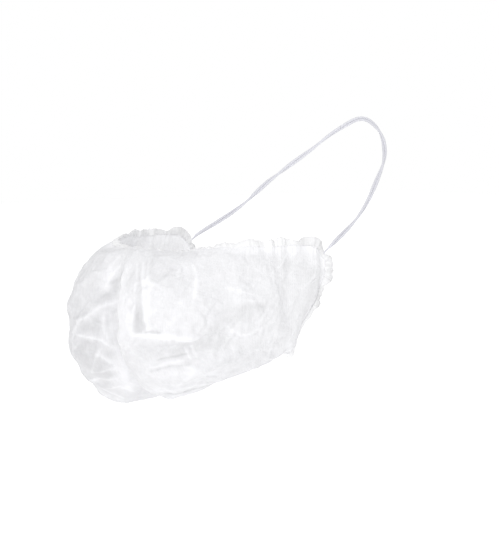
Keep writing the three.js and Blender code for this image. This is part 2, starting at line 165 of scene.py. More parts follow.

# Bands of painted light and shade on the cloth: whiter where light falls on it and where it lies double,
# darker where shade falls on it and where it lies single. Each has its two ends as above, the change in
# whiteness and the width in millimetres.
LAYER_AND_LIGHT_BANDS = np.array([
    (0.88, 0.6, 0.92, 2.4, -0.3, 14.0),
    (-0.13, 0.35, -0.12, 1.9, -0.36, 30.0),
    (0.093, 0.5, 0.093, 0.68, 0.75, 6.5),
    (0.093, 0.68, 0.121, 0.96, 0.75, 6.5),
    (0.121, 0.96, 0.109, 1.25, 0.75, 6.5),
    (0.157, 0.77, 0.173, 1.18, 0.35, 6.0),
    (-0.028, 1.4, -0.028, 1.65, 0.4, 5.0),
    (-0.04, 1.6, -0.06, 1.85, 0.35, 5.0),
    (-0.04, 1.8, 0.2, 1.86, 0.25, 5.5),
    (0.157, 1.57, 0.279, 1.62, 0.1, 5.5),
    (0.279, 1.62, 0.418, 1.9, 0.15, 5.5),
    (-0.036, 0.44, -0.056, 0.59, 0.25, 3.5),
    (-0.206, 1.58, -0.173, 1.81, 0.3, 5.0),
    (-0.173, 1.81, -0.121, 1.93, 0.3, 5.0),
    (0.222, 0.04, 0.423, 0.04, 0.4, 5.0),
    (0.423, 0.04, 0.547, 0.04, 0.4, 5.0),
    (0.181, 0.31, 0.259, 0.63, -0.2, 6.0),
    (0.255, 0.35, 0.304, 0.68, -0.2, 6.0),
    (0.39, 1.21, 0.477, 1.1, -0.3, 6.5),
    (0.477, 1.1, 0.579, 1.07, -0.3, 6.5),
    (0.65, 0.31, 0.804, 0.63, -0.2, 6.0),
    (-0.283, 0.37, -0.169, 0.74, -0.15, 9.0),
    (-0.036, 0.72, -0.06, 0.76, -0.3, 3.5),
    (-0.02, 0.59, -0.028, 0.71, -0.35, 3.0),
    (0.809, 0.32, 0.935, 0.58, 0.2, 5.0),
])

# Corners of places of painted shade, where one layer shows between folds, four turns and places down each, and
# how much darker.
SHADED_WINDOWS = np.array([
    (0.218, 0.74, 0.222, 0.74, 0.23, 1.07, 0.186, 1.07, -1.0),
    (0.189, 1.12, 0.32, 1.17, 0.304, 1.39, 0.197, 1.28, -0.2),
    (0.32, 1.18, 0.46, 1.35, 0.443, 1.46, 0.312, 1.39, -0.4),
    (-0.133, 0.99, -0.06, 0.92, -0.056, 1.06, -0.085, 1.08, -0.39),
    (-0.052, 0.91, -0.032, 0.83, -0.036, 1.25, -0.052, 1.18, -0.32),
    (-0.133, 1.14, -0.068, 1.18, -0.113, 1.49, -0.181, 1.26, -0.42),
    (-0.077, 1.31, -0.052, 1.44, -0.068, 1.62, -0.133, 1.56, -0.42),
    (-0.064, 1.25, -0.04, 1.28, -0.044, 1.42, -0.068, 1.28, -0.32),
])

# Where the elastic goes behind each end, as shares of the cheek's half width, the back's reach and its rise.
ELASTIC_ROUTE = np.array([
    (0.892, 0.35, 0.239),
    (0.77, 0.596, 0.477),
    (0.555, 0.842, 0.72),
    (0.29, 0.965, 0.91),
])

# Notches between the round puffs of the gathered hem at each end, in millimetres round the edge from the
# upper corner, downwards positive.
END_NOTCHES = np.array([-30.0, -4.0, 17.0, 35.0])
PUFF_ROUNDNESS = 0.6  # the lower, the rounder
END_FADE = 15.0  # how far beyond the outer notches the puffs fade into the plain gathers, in millimetres

# Uneven waves along an edge: their number, the strength, number and phase of each swing of their spacing, and
# the level of their height with the strength, number and phase of its swing.
RUFFLES = {"count": 21, "wander": ((0.3, 3.3, 1), (0.2, 7.1, 0)), "size": (0.8, 0.2, 5.3, 2)}
PLEATS = {"count": 74, "wander": ((1.3, 6.1, 0), (0.6, 17.3, 2)), "size": (0.65, 0.35, 11.7, 1)}
HEM_GATHERS = 150  # fine gathers round the whole hem
HEM_SCALLOPS = ((0.3, 31), (0.6, 67))  # start and number of the wider waves round the hem

# Where folds and creases of the pouch fade out, in metres of cloth from its edges.
FOLD_INSET = 0.009
WRINKLE_INSET = 0.012
WRINKLE_END = 0.03  # as a share of the way from end to end
CREASE_INSET = 0.006
PLEAT_REACH = 0.014
PLEAT_HEIGHT = 0.0006
CREASE_TAPER = 0.12  # how blunt the ends of folds and creases are
STRAYS = 110
STRAY_SEED = 7

# Whiteness of the cloth, from 0 for one thin layer to 1 for a doubled one, with painted light and shade added
# to it.
PLAIN_WHITENESS = 0.57
STRAY_WHITENESS = 0.35  # added along a full stray crease
STRAY_FULL = 0.0006  # height of a full stray crease
EDGE_WHITENESS = 0.45  # added beside the hem
EDGE_REACH = 0.0081
EDGE_STEEPNESS = 1.35
HEM_WHITENESS = 0.85
HEM_GATHER_WHITENESS = 0.15
HEM_END_SHADE = 0.35

# The hem's section and its gathers, as shares of its width and thickness or in metres.
HEM_SIDES = 16
HEM_GIRTH = 0.012
HEM_END_STILLNESS = 0.6  # how much less it sways where it is crowded
HEM_SEAM_DEPTH = 0.0004  # how far the pouch's edge lies inside the hem
HEM_HALF_THICKNESS = 0.36
HEM_FULLNESS = 0.7  # 1 would be an ellipse
HEM_SCALLOP = 0.22
HEM_SWELL = 0.12
HEM_SWAY = (0.00022, 0.0007)  # of the gathers and of the wider waves
HEM_NOTCH = 0.5  # width at a notch between the puffs of an end
HEM_PUFF_WIDTH = 0.75
HEM_PUFF_HEIGHT = 1.1

# The elastic. Lengths are in metres.
ELASTIC_CORNER = 0.003  # from the hem's corner to the elastic
ELASTIC_GAP = 0.0006
ELASTIC_LIFT = 0.002
ELASTIC_INSIDE = 0.0055  # how far it runs on into the hem
ELASTIC_LEAD = 0.003
ELASTIC_RINGS = 760
ELASTIC_SIDES = 12
TWIST = 0.085  # for one whole turn of the two strands
TWIST_WANDER = (0.6, 0.13)
STRAND_GAP = (0.92, 0.1, 0.05)  # share of a strand's radius, its swing and the swing's length
BRAID = (0.05, 0.0021)  # height of the covering yarn as a share of the radius, and its pitch
FUZZ = (0.03, 0.0135)
ROUTE_STEPS = 4000
STRAND_TAPER = (0.007, 0.6)  # length over which each end narrows, and the share that is left
GAP_TAPER = (0.012, 0.4)  # the same for the gap between the strands
STEADY = (0.0, -0.66, 0.75)  # a direction that the elastic never runs along

# Repeats of the patterns in a metre, and their contrast.
CLOUDS = 160.0  # 6 mm apart
CLOUD_CONTRAST = 0.65
FIBRE_BUNDLES = (1900, 190, 1)  # 0.5 mm wide and 5 mm long
FIBRE_DIRECTIONS = (0.4, 1.5, 2.6)
FIBRE_CONTRAST = 0.32
WEB_DENSITY = 0.54
WELDS = 500.0  # 2 mm apart
PLIES = 260.0  # this wave pattern repeats every 0.31 of its unit, so 1.2 mm apart
FLUFF = 900.0  # 1.1 mm apart

CAMERA_ANGLES = (50, 5)  # round to the left from the front, and up
CAMERA_PLACE = (-0.0075, -0.0243, 1.3)  # aside, up and back
LENS = 118.5
KEY_PLACE = (-0.35, 1.3, 1.6)  # aside, up and back
FLOOR_HEIGHT = -0.19
FLOOR_HALF = 4

RIM_SAMPLES = 1201  # places at which the upper edge is measured
SIM_COLUMNS = 150  # cloth cells from end to end while the cloth is simulated
SIM_ROWS = (26, 24, 20)  # cloth cells from rim to bulge, bulge to floor and floor to hem
FINER = 3  # cells of the finished cloth for each simulated one, along and down
SIM_FRAMES = 24


def linear(code):
    """The linear colour of an sRGB hex code."""
    parts = [int(code[i : i + 2], 16) / 255 for i in (1, 3, 5)]
    return tuple(c / 12.92 if c <= 0.04045 else ((c + 0.055) / 1.055) ** 2.4 for c in parts)


def length(name, description, default):
    """A length in metres that a user can change."""
    return bpy.props.FloatProperty(
        name=name, description=description, default=default, unit="LENGTH", precision=4
    )


def tone(name, description, code):
    """A colour that a user can change."""
    return bpy.props.FloatVectorProperty(
        name=name, description=description, default=linear(code), subtype="COLOR"
    )


class BeardNetSizes(bpy.types.PropertyGroup):
    """Sizes of the worn net"""

    cheek_half_width: length("Cheek half width", "From the middle line out to the net's ends", 0.074)
    lip_reach: length("Lip reach", "From the middle forward to the upper edge", 0.112)
    cheek_rise: length("Cheek rise", "Upper edge over the cheeks, above its height in front", 0.004)
    throat_drop: length("Throat drop", "Lower edge at the throat, below the upper edge", 0.080)
    lobe_puff: length("Lobe puff", "How far the lobes stand out in front of the upper edge", 0.042)
    pouch_drop: length("Pouch drop", "From the upper edge down to the bottom of the bag", 0.101)
    right_slump: length("Right slump", "How much lower the right lobe hangs", 0.009)
    gather_height: length("Gather height", "From the cloth's middle to the crest of a full ruffle", 0.0019)
    gather_fade: length("Gather fade", "From the hem to where the ruffles have died out", 0.028)
    hem_width: length("Hem width", "Width of the folded edge", 0.0055)
    hem_thickness: length("Hem thickness", "Thickness of the folded and gathered edge", 0.0022)
    elastic_strand: length("Elastic strand", "Diameter of each of the two strands", 0.0018)
    back_reach: length("Back reach", "From the middle back to the elastic", 0.099)
    back_rise: length("Back rise", "Height of the elastic at the back", 0.088)
    end_angle: bpy.props.FloatProperty(
        name="End angle", description="From the front round to each end",
        default=math.radians(86.5), subtype="ANGLE",
    )
    right_puff: bpy.props.FloatProperty(
        name="Right puff", description="Puff of the right lobe beside the left", default=0.8, subtype="FACTOR"
    )
    right_droop: bpy.props.FloatProperty(
        name="Right droop", description="How much lower the right lobe leaves the rim",
        default=math.radians(24), subtype="ANGLE",
    )


class BeardNetColours(bpy.types.PropertyGroup):
    """Colours of the net and the stage"""

    cloth: tone("Cloth", "The nonwoven cloth where it lies double", "#F7F7F9")
    hem: tone("Hem", "The doubled cloth of the hem", "#FAFAFB")
    elastic: tone("Elastic", "Covering yarn of the elastic", "#E2E2E9")
    floor: tone("Floor", "Plain pale floor", "#FBFBFB")


def section(name, turn):
    """A column of the profile table at these turns, on a smooth curve that is mirrored at the front."""
    turns, column = SECTIONS[:, 0], SECTIONS[:, SECTION_COLUMNS.index(name)]
    last = len(turns) - 1
    place = np.abs(turn)
    to = np.clip(np.searchsorted(turns, place - 1e-9), 1, last)
    start, after, before = to - 1, np.minimum(to + 1, last), np.abs(to - 2)
    before_turn = np.where(to == 1, -turns[before], turns[before])
    span = turns[to] - turns[start]
    slope_start = (column[to] - column[before]) / (turns[to] - before_turn)
    slope_to = (column[after] - column[start]) / (turns[after] - turns[start])
    t = (place - turns[start]) / span
    return (
        (2 * t**3 - 3 * t**2 + 1) * column[start]
        + (t**3 - 2 * t**2 + t) * span * slope_start
        + (3 * t**2 - 2 * t**3) * column[to]
        + (t**3 - t**2) * span * slope_to
    )


def bend(start, leave, end, arrive, t, roundness=0.38):
    """Points on curves between two places of a profile, which leave and arrive in the given directions."""
    handle = roundness * np.linalg.norm(end - start, axis=-1)[..., None]
    step = lambda direction: np.stack([np.cos(np.radians(direction)), np.sin(np.radians(direction))], -1)
    first, second = start + handle * step(leave), end - handle * step(arrive)
    t = t[..., None]
    return (1 - t) ** 3 * start + 3 * (1 - t) ** 2 * t * first + 3 * (1 - t) * t**2 * second + t**3 * end


def smooth_pouch(sizes, turn, down):
    """Points of the pouch without its folds, at arrays of turns and places down the cloth."""
    angle = turn * sizes.end_angle
    radius = 1 / np.hypot(np.sin(angle) / sizes.cheek_half_width, np.cos(angle) / sizes.lip_reach)
    right = np.where(turn < 0, section("puff", turn), 0)
    slump = right * sizes.right_slump
    rim_out = radius * section("rim_out", turn)
    puff = sizes.lobe_puff * section("puff", turn) * (1 - right * (1 - sizes.right_puff))
    rim = np.stack([rim_out, sizes.cheek_rise * section("rim_up", turn)], -1)
    bulge = np.stack([rim_out + puff, sizes.pouch_drop * section("bulge_up", turn) - slump], -1)
    floor_up = sizes.pouch_drop * section("floor_up", turn) - slump
    floor = np.stack([radius * section("floor_out", turn), floor_up], -1)
    hem = np.stack([radius * section("hem_out", turn), sizes.throat_drop * section("hem_up", turn)], -1)
    hem_lean = section("hem_lean", turn)
    tuck = (DOWN + hem_lean) / 2
    rim_lean = section("rim_lean", turn) - right * math.degrees(sizes.right_droop)
    straight = np.full_like(turn, DOWN)
    stretch = np.clip(np.floor(down), 0, 2)
    t = down - stretch
    upper = bend(rim, rim_lean, bulge, straight, t)
    middle = bend(bulge, straight, floor, tuck, t)
    lower = bend(floor, tuck, hem, hem_lean, t)
    below = np.where(stretch[..., None] == 1, middle, lower)
    out, up = np.moveaxis(np.where(stretch[..., None] == 0, upper, below), -1, 0)
    return np.stack([out * np.sin(angle), -out * np.cos(angle), up], -1)


def cloth_grid(sizes, finer):
    """Turns and places down the cloth for a grid of cells, its columns dividing the upper edge evenly."""
    fine = np.linspace(-1, 1, RIM_SAMPLES)
    rim = smooth_pouch(sizes, fine, np.zeros_like(fine))
    along = np.concatenate([[0], np.cumsum(np.linalg.norm(np.diff(rim, axis=0), axis=1))])
    turns = np.interp(np.linspace(0, along[-1], SIM_COLUMNS * finer + 1), along, fine)
    downs = [np.linspace(k, k + 1, rows * finer, endpoint=False) for k, rows in enumerate(SIM_ROWS)]
    return np.meshgrid(turns, np.concatenate(downs + [[3.0]]), indexing="ij")


def grid_normals(points):
    """Unit normals of a grid of points, outward."""
    across = np.cross(np.gradient(points, axis=1), np.gradient(points, axis=0))
    return across / np.maximum(np.linalg.norm(across, axis=-1, keepdims=True), 1e-12)


def cloth_lengths(points):
    """Lengths of cloth from each point of a grid up to the rim and down to the hem."""
    steps = np.linalg.norm(np.diff(points, axis=1), axis=-1)
    from_rim = np.concatenate([np.zeros((len(points), 1)), np.cumsum(steps, axis=1)], axis=1)
    return from_rim, from_rim[:, -1:] - from_rim


def ridges(place, scale, lines, crisp):
    """Height of folds along lines on the cloth, rounded or crisp, at places given as turn and down."""
    height = np.zeros(place.shape[:-1])
    for turn_a, down_a, turn_b, down_b, crest, width in lines:
        start = np.array((turn_a, down_a)) * scale
        line = np.array((turn_b, down_b)) * scale - start
        offset = place * scale - start
        along = np.clip((offset * line).sum(-1) / np.maximum((line**2).sum(-1), 1e-12), 0, 1)
        aside = np.linalg.norm(offset - along[..., None] * line, axis=-1) / (width * MM)
        taper = np.sqrt(np.sin(np.pi * (CREASE_TAPER + (1 - 2 * CREASE_TAPER) * along)))
        profile = np.exp(0.5 - 2 * np.sqrt(aside**2 + 0.0625)) if crisp else np.exp(-2 * aside**2)
        height += crest * MM * taper * profile
    return height


def window_shade(place, scale, rim=0.0009):
    """Painted shade on the cloth in the four-cornered places where it lies single, with rims about 1 mm soft.
    """
    dark = np.zeros(place.shape[:-1])
    for row in SHADED_WINDOWS:
        corners = row[:8].reshape(4, 2) * scale.mean((0, 1))
        inside = np.ones(place.shape[:-1])
        way = 1 if np.cross(corners[1] - corners[0], corners[2] - corners[1]) > 0 else -1
        spot = place * scale.mean((0, 1))
        for here, after in zip(corners, np.roll(corners, -1, axis=0)):
            line = (after - here) / max(np.linalg.norm(after - here), 1e-6)
            offset = spot - here
            depth = way * (line[0] * offset[..., 1] - line[1] * offset[..., 0])
            inside *= 1 / (1 + np.exp(np.clip(-depth / rim, -30, 30)))
        dark += row[8] * inside
    return dark


def layers_and_painted_light(place, scale, strays, edge):
    """How white the cloth is, 0 for one thin layer to 1 where doubled, creased or folded in, with painted
    light and shade.
    """
    columns = (0, 1, 2, 3, 6, 5)
    # The bands add painted light and shade, and the windows add painted shade.
    white = PLAIN_WHITENESS + ridges(place, scale, LAYER_AND_LIGHT_BANDS, crisp=False) / MM + window_shade(place, scale)
    # Painted highlights along the ridges of the creases and painted shade along their dents.
    white += ridges(place, scale, CREASES[:, columns], crisp=True) / MM
    white += STRAY_WHITENESS * np.clip(np.abs(strays) / STRAY_FULL, 0, 1)
    white += EDGE_WHITENESS * np.clip(EDGE_STEEPNESS * (1 - edge / EDGE_REACH), 0, 1)
    return np.clip(white, 0, 1)


def waves(share, count, wander, size):
    """Height of uneven waves along an edge at shares of its length, between -1 and 1."""
    swing = lambda strength, number, phase: strength * np.sin(2 * np.pi * number * share + phase)
    spacing = sum(swing(*row) for row in wander)
    return (size[0] + swing(*size[1:])) * np.sin(2 * np.pi * (count * share + spacing))


def end_puffs(run, corner, total):
    """How far the hem belongs to its crowded ends and how high the puffs stand there, from 0 to 1."""
    down = run * total - corner
    across = -((run * total + total / 2) % total - total / 2)
    place = np.where(np.abs(down) < np.abs(across), down, across) / MM
    first, last = END_NOTCHES[0], END_NOTCHES[-1]
    crowded = np.interp(place, (first - END_FADE, first, last, last + END_FADE), (0, 1, 1, 0))
    cell = np.clip(np.searchsorted(END_NOTCHES, place) - 1, 0, len(END_NOTCHES) - 2)
    share = (place - END_NOTCHES[cell]) / (END_NOTCHES[cell + 1] - END_NOTCHES[cell])
    return crowded, np.sin(np.pi * np.clip(share, 0, 1)) ** PUFF_ROUNDNESS


def stray_creases(count, seed):
    """Short slight creases in all directions, as rows like those of the soft folds."""
    random = np.random.default_rng(seed)
    middle = np.column_stack([random.uniform(-0.95, 0.95, count), random.uniform(0.15, 2.85, count)])
    heading = random.uniform(0, 2 * np.pi, count)
    reach = random.uniform(0.02, 0.1, count)
    half = np.column_stack([np.cos(heading) * reach, np.sin(heading) * reach * 2.6])
    height = random.uniform(0.15, 0.5, count) * random.choice([-1, 1], count)
    width = random.uniform(1.2, 2.6, count)
    return np.column_stack([middle - half, middle + half, height, width])


def crumpled_pouch(sizes, finer):
    """The pouch's points with its soft folds and ruffles, and the scale of its turns and places in metres."""
    turn, down = cloth_grid(sizes, finer)
    points = smooth_pouch(sizes, turn, down)
    from_rim, from_hem = cloth_lengths(points)
    around = np.full_like(turn, sizes.lip_reach * sizes.end_angle)
    scale = np.stack([around, np.broadcast_to(from_rim[:, -1:] / 3, turn.shape)], -1)
    place = np.stack([turn, down], -1)
    share = np.linspace(0, 1, len(turn))[:, None]
    fade = lambda away, reach: np.clip(1 - away / reach, 0, 1) ** 2
    size = section("ruffle", turn)
    gather = size * fade(from_rim, sizes.gather_fade) + np.sqrt(size) * fade(from_hem, sizes.gather_fade)
    height = sizes.gather_height * np.minimum(1, gather) * waves(share, **RUFFLES)
    inner = np.minimum(1, np.minimum(from_rim, from_hem) / FOLD_INSET)
    height += inner * ridges(place, scale, SOFT_FOLDS, crisp=False)
    return points + grid_normals(points) * height[..., None], place, scale


def spread(values, count):
    """Values of a coarse grid's first axis at more places, on smooth curves through them."""
    place = np.linspace(0, len(values) - 1, count)
    cell = np.minimum(place.astype(int), len(values) - 2)
    t = place - cell
    near = np.clip(cell[:, None] + np.arange(-1, 3), 0, len(values) - 1)
    outer = (-t + 2 * t**2 - t**3, t**3 - t**2)
    weights = np.stack([outer[0], 2 - 5 * t**2 + 3 * t**3, t + 4 * t**2 - 3 * t**3, outer[1]], 1) / 2
    return np.einsum("ij,ij...->i...", weights, values[near])


def grid_object(name, points, uv=None):
    """An object whose mesh is a grid of points, with a UV map in metres of cloth."""
    columns, rows = points.shape[:2]
    index = np.arange(columns * rows).reshape(columns, rows)
    quads = np.stack([index[:-1, :-1], index[:-1, 1:], index[1:, 1:], index[1:, :-1]], -1).reshape(-1, 4)
    mesh = bpy.data.meshes.new(name)
    mesh.from_pydata(points.reshape(-1, 3).tolist(), [], quads.tolist())
    if uv is not None:
        layer = mesh.uv_layers.new(name="cloth")
        layer.data.foreach_set("uv", uv.reshape(-1, 2)[quads.ravel()].astype(np.float32).ravel())
    obj = bpy.data.objects.new(name, mesh)
    bpy.context.scene.collection.objects.link(obj)
    return obj


def softened(values, reach):
    """A grid of values averaged over its neighbours, twice over."""
    for axis in (0, 1, 0, 1):
        before, after = (np.repeat(values.take([end], axis), reach, axis) for end in (0, -1))
        total = np.cumsum(np.concatenate([before, values, after], axis), axis)
        total = np.concatenate([np.zeros_like(total.take([0], axis)), total], axis)
        count = values.shape[axis]
        span = 2 * reach + 1
        values = (total.take(range(span, span + count), axis) - total.take(range(count), axis)) / span
    return values


def simulate(points, swell=0.03, hold=0.03, cap=0.002, strength=0.45, roughness=0.00015):
    """Wrinkles of a grid of cloth that is a little larger than the form it is held on, so that it buckles."""
    random = np.random.default_rng(11)
    start = points + grid_normals(points) * random.normal(0, roughness, points.shape[:2])[..., None]
    obj = grid_object("pouch_simulation", start)
    columns, rows = points.shape[:2]
    edge = np.zeros((columns, rows), bool)
    edge[:2], edge[-2:], edge[:, :2], edge[:, -2:] = True, True, True, True
    group = obj.vertex_groups.new(name="held")
    group.add(np.flatnonzero(edge.ravel()).tolist(), 1.0, "REPLACE")
    group.add(np.flatnonzero(~edge.ravel()).tolist(), hold, "REPLACE")
    cloth = obj.modifiers.new("cloth", "CLOTH")
    settings = cloth.settings
    settings.quality = 6
    settings.mass = 0.05
    settings.tension_stiffness = 20
    settings.compression_stiffness = 20
    settings.shear_stiffness = 8
    settings.bending_stiffness = 0.05
    settings.air_damping = 2
    settings.vertex_group_mass = group.name
    settings.pin_stiffness = 1
    settings.shrink_min = -swell
    settings.effector_weights.gravity = 0
    cloth.collision_settings.use_collision = False
    cloth.point_cache.frame_start, cloth.point_cache.frame_end = 1, SIM_FRAMES
    for number in range(1, SIM_FRAMES + 1):
        bpy.context.scene.frame_set(number)
    shaped = obj.evaluated_get(bpy.context.evaluated_depsgraph_get())
    found = np.empty(columns * rows * 3)
    shaped.data.vertices.foreach_get("co", found)
    bpy.context.scene.frame_set(1)
    mesh = obj.data
    bpy.data.objects.remove(obj)
    bpy.data.meshes.remove(mesh)
    shift = found.reshape(points.shape) - points
    shift -= softened(shift, 4)
    size = np.linalg.norm(shift, axis=-1, keepdims=True)
    return strength * shift * np.minimum(1, cap / np.maximum(size, 1e-9))


def add_node(tree, kind, settings=None, **links):
    """Adds one node with its settings and its inputs, each a value or another node's output."""
    node = tree.nodes.new(kind)
    for name, value in (settings or {}).items():
        setattr(node, name, value)
    for name, value in links.items():
        numbered = name[0] == "i" and name[1:].isdigit()
        socket = node.inputs[int(name[1:]) if numbered else name.replace("_", " ")]
        if isinstance(value, bpy.types.NodeSocket):
            tree.links.new(value, socket)
        else:
            socket.default_value = value
    return node


def new_material(name):
    """An empty node material and its tree."""
    material = bpy.data.materials.new(name)
    material.use_nodes = True
    material.node_tree.nodes.clear()
    return material, material.node_tree


def shade_between(tree, blend, colour, dark):
    """A colour that a pattern moves between a share of itself and its full brightness."""
    ends = {"i6": (*[c * dark for c in colour], 1), "i7": (*colour, 1)}
    return add_node(tree, "ShaderNodeMix", {"data_type": "RGBA"}, i0=blend, **ends).outputs[2]


def dimmer_as_light(tree, lit, seen):
    """A strength that is lower where the stage lights the net than where it is seen."""
    direct = add_node(tree, "ShaderNodeLightPath").outputs["Is Camera Ray"]
    return add_node(tree, "ShaderNodeMapRange", i0=direct, i1=0.0, i2=1.0, i3=lit, i4=seen).outputs[0]


def spunbonded_polypropylene(name, colour, see_through, passed, bump):
    """Cloth laid from endless molten fibres and welded at small points, which looks soft, matt and milky."""
    material, tree = new_material(name)
    uv = add_node(tree, "ShaderNodeUVMap", {"uv_map": "cloth"}).outputs["UV"]
    place = add_node(tree, "ShaderNodeTexCoord").outputs["Object"]
    # The web is laid unevenly, in clouds of about 6 mm, which the eye sees as slightly denser patches.
    clouds = add_node(
        tree, "ShaderNodeTexNoise", Vector=place, Scale=CLOUDS, Detail=3.0, Roughness=0.6,
    ).outputs["Fac"]
    # Fibres are 0.02 mm thick. Bundles 0.5 mm wide stand for them, because single ones don't show.
    fibres = None
    for turned in FIBRE_DIRECTIONS:
        stretched = add_node(
            tree, "ShaderNodeMapping", Vector=uv, Rotation=(0, 0, turned), Scale=FIBRE_BUNDLES,
        ).outputs[0]
        web = add_node(
            tree, "ShaderNodeTexNoise", {"noise_dimensions": "2D"}, Vector=stretched, Scale=1.0, Detail=1.0,
        ).outputs["Fac"]
        if fibres is None:
            fibres = web
        else:
            fibres = add_node(tree, "ShaderNodeMath", {"operation": "MAXIMUM"}, i0=fibres, i1=web).outputs[0]
    # Weld points are 0.8 mm apart. They are drawn 2 mm apart, the least that shows.
    welds = add_node(
        tree, "ShaderNodeTexVoronoi", {"voronoi_dimensions": "2D"}, Vector=uv, Scale=WELDS, Randomness=0.25,
    ).outputs["Distance"]
    weld_depth = add_node(tree, "ShaderNodeMapRange", i0=welds, i1=0.05, i2=0.4, i3=0.0, i4=1.0).outputs[0]
    add = {"operation": "MULTIPLY_ADD"}
    web = add_node(tree, "ShaderNodeMath", add, i0=fibres, i1=FIBRE_CONTRAST, i2=WEB_DENSITY).outputs[0]
    density = add_node(tree, "ShaderNodeMath", add, i0=clouds, i1=CLOUD_CONTRAST, i2=web).outputs[0]
    layers_and_light = add_node(tree, "ShaderNodeAttribute", {"attribute_name": "layers_and_painted_light"}).outputs["Fac"]
    thick = add_node(tree, "ShaderNodeMath", add, i0=layers_and_light, i1=0.8, i2=density).outputs[0]
    cover = add_node(
        tree, "ShaderNodeMapRange", i0=thick, i1=0.8, i2=1.7, i3=1.0 - see_through, i4=1.0,
    ).outputs[0]
    height = add_node(tree, "ShaderNodeMath", add, i0=fibres, i1=0.6, i2=weld_depth).outputs[0]
    relief = add_node(tree, "ShaderNodeBump", Height=height, Strength=bump, Distance=0.2 * MM).outputs[0]
    # One thin layer looks about a third darker than a doubled one, because more light passes it. The
    # attribute's painted light and shade go through this blend too.
    blend = add_node(tree, "ShaderNodeMapRange", i0=thick, i1=0.7, i2=1.9, i3=0.0, i4=1.0).outputs[0]
    shade = shade_between(tree, blend, colour, 0.67)
    surface = add_node(
        tree, "ShaderNodeBsdfPrincipled", Base_Color=shade, Roughness=0.72, IOR=1.49,
        Sheen_Weight=0.25, Sheen_Roughness=0.4, Alpha=cover, Normal=relief,
    ).outputs[0]
    glow = add_node(tree, "ShaderNodeBsdfTranslucent", Color=shade, Normal=relief).outputs[0]
    mixed = add_node(tree, "ShaderNodeMixShader", Fac=passed, i1=surface, i2=glow).outputs[0]
    add_node(tree, "ShaderNodeOutputMaterial", Surface=mixed)
    return material


def covered_elastic(colour):
    """Rubber threads covered with bulked polyester yarn, which looks like a soft off-white cord."""
    material, tree = new_material("yarn_covered_elastic")
    uv = add_node(tree, "ShaderNodeUVMap", {"uv_map": "cloth"}).outputs["UV"]
    # Plies of the covering yarn lie 1.2 mm apart and cross at a slant, which gives fine slanting lines.
    slant = add_node(
        tree, "ShaderNodeMapping", Vector=uv, Rotation=(0, 0, 0.6), Scale=(1, 1, 1),
    ).outputs[0]
    plies = add_node(
        tree, "ShaderNodeTexWave", {"bands_direction": "X"},
        Vector=slant, Scale=PLIES, Distortion=2.0, Detail=2.0,
    ).outputs["Fac"]
    fluff = add_node(tree, "ShaderNodeTexNoise", Vector=uv, Scale=FLUFF, Detail=3.0).outputs["Fac"]
    height = add_node(
        tree, "ShaderNodeMath", {"operation": "MULTIPLY_ADD"}, i0=fluff, i1=0.5, i2=plies,
    ).outputs[0]
    relief = add_node(tree, "ShaderNodeBump", Height=height, Strength=0.6, Distance=0.3 * MM).outputs[0]
    surface = add_node(
        tree, "ShaderNodeBsdfPrincipled", Base_Color=shade_between(tree, plies, colour, 0.8), Roughness=0.6,
        IOR=1.5, Sheen_Weight=0.3, Normal=relief,
    ).outputs[0]
    add_node(tree, "ShaderNodeOutputMaterial", Surface=surface)
    return material


def lit_acrylic(colour):
    """Opal acrylic sheet, cast matt and lit from below, which keeps shadows faint."""
    material, tree = new_material("lit_opal_acrylic")
    place = add_node(tree, "ShaderNodeTexCoord").outputs["Object"]
    grain = add_node(tree, "ShaderNodeTexNoise", Vector=place, Scale=40.0, Detail=2.0).outputs["Fac"]
    surface = add_node(
        tree, "ShaderNodeBsdfPrincipled", Base_Color=shade_between(tree, grain, colour, 0.985),
        Roughness=0.95, IOR=1.49,
        Emission_Color=(1, 1, 1, 1), Emission_Strength=dimmer_as_light(tree, 0.36, 0.66),
    ).outputs[0]
    add_node(tree, "ShaderNodeOutputMaterial", Surface=surface)
    return material


def finish_piece(obj, material, node):
    """Gives a piece its material and smooth shading, hangs it on the root body and hides the model's part it
    stands for.
    """
    obj.data.materials.append(material)
    obj.data.polygons.foreach_set("use_smooth", [True] * len(obj.data.polygons))
    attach(obj, "root")
    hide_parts(node)


def view_axes(azimuth, elevation):
    """Right, up and backward directions of a camera that looks at the object from these angles."""
    a, e = math.radians(azimuth), math.radians(elevation)
    right = Vector((math.cos(a), math.sin(a), 0))
    back = Vector((math.sin(a) * math.cos(e), -math.cos(a) * math.cos(e), math.sin(e)))
    return right, back.cross(right), back


class BEARDNET_OT_camera(bpy.types.Operator):
    """Sets the camera at the net's left front, a little above it"""

    bl_idname = "beardnet.camera"
    bl_label = "Camera"

    def execute(self, context):
        right, up, back = view_axes(*CAMERA_ANGLES)
        data = bpy.data.cameras.new("camera")
        data.sensor_width = 36
        data.lens = LENS
        data.clip_start, data.clip_end = 0.05, 50
        camera = bpy.data.objects.new("camera", data)
        context.scene.collection.objects.link(camera)
        turned = Matrix((right, up, back)).transposed()
        place = right * CAMERA_PLACE[0] + up * CAMERA_PLACE[1] + back * CAMERA_PLACE[2]
        camera.matrix_world = Matrix.Translation(place) @ turned.to_4x4()
        context.scene.camera = camera
        return {"FINISHED"}


